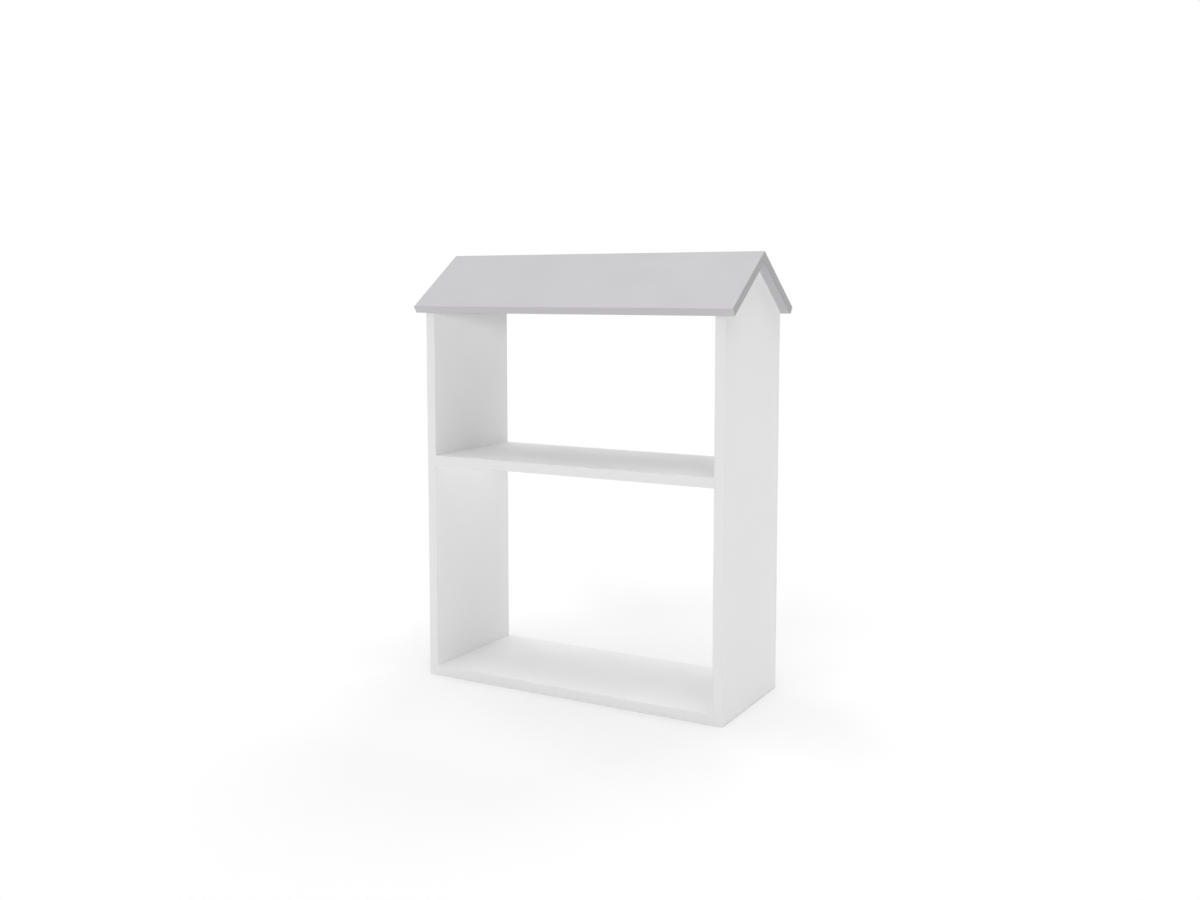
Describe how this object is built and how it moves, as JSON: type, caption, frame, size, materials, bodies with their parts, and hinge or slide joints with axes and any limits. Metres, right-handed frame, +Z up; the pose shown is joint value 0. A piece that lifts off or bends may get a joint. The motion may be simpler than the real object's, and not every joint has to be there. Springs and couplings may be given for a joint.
{
  "type": "house shaped bookcase",
  "caption": "Open bookcase in the shape of a small house, with gable sides, a bottom, a fixed middle shelf and a pitched roof of mitred boards.",
  "frame": {"origin": "on the floor, in the middle of the box around the bookcase", "axes": "+X to the right of someone facing the front, +Y from front to back, +Z up"},
  "size_m": [0.7, 0.294, 0.8685],
  "materials": {
    "white_board": "white melamine-faced board, satin",
    "grey_board": "pale grey melamine-faced board, satin",
    "white_band": "white edge band, satin",
    "grey_band": "pale grey edge band, satin",
    "zinc": "die-cast zinc, satin",
    "steel": "zinc-plated steel, bright",
    "beech": "unfinished beech",
    "white_cap": "white moulded plastic"
  },
  "bodies": {
    "root": {"side_panel_left": "white_board", "side_panel_right": "white_board", "bottom_panel": "white_board", "middle_shelf": "white_board", "roof_panel_front": "grey_board", "roof_panel_back": "grey_board", "side_left_front_band": "white_band", "side_left_back_band": "white_band", "side_left_foot_band": "white_band", "side_right_front_band": "white_band", "side_right_back_band": "white_band", "side_right_foot_band": "white_band", "bottom_front_band": "white_band", "bottom_back_band": "white_band", "shelf_front_band": "white_band", "shelf_back_band": "white_band", "roof_front_eave_band": "grey_band", "roof_front_left_band": "grey_band", "roof_front_right_band": "grey_band", "roof_back_eave_band": "grey_band", "roof_back_left_band": "grey_band", "roof_back_right_band": "grey_band", "bottom_cam_locks": "zinc", "shelf_cam_locks": "zinc", "roof_cam_locks": "zinc", "bottom_cam_bolts": "steel", "shelf_cam_bolts": "steel", "roof_cam_bolts": "steel", "bottom_dowels": "beech", "shelf_dowels": "beech", "roof_dowels": "beech", "ridge_dowels": "beech", "shelf_cam_caps": "white_cap", "roof_cam_caps": "white_cap"}
  },
  "joints": []
}
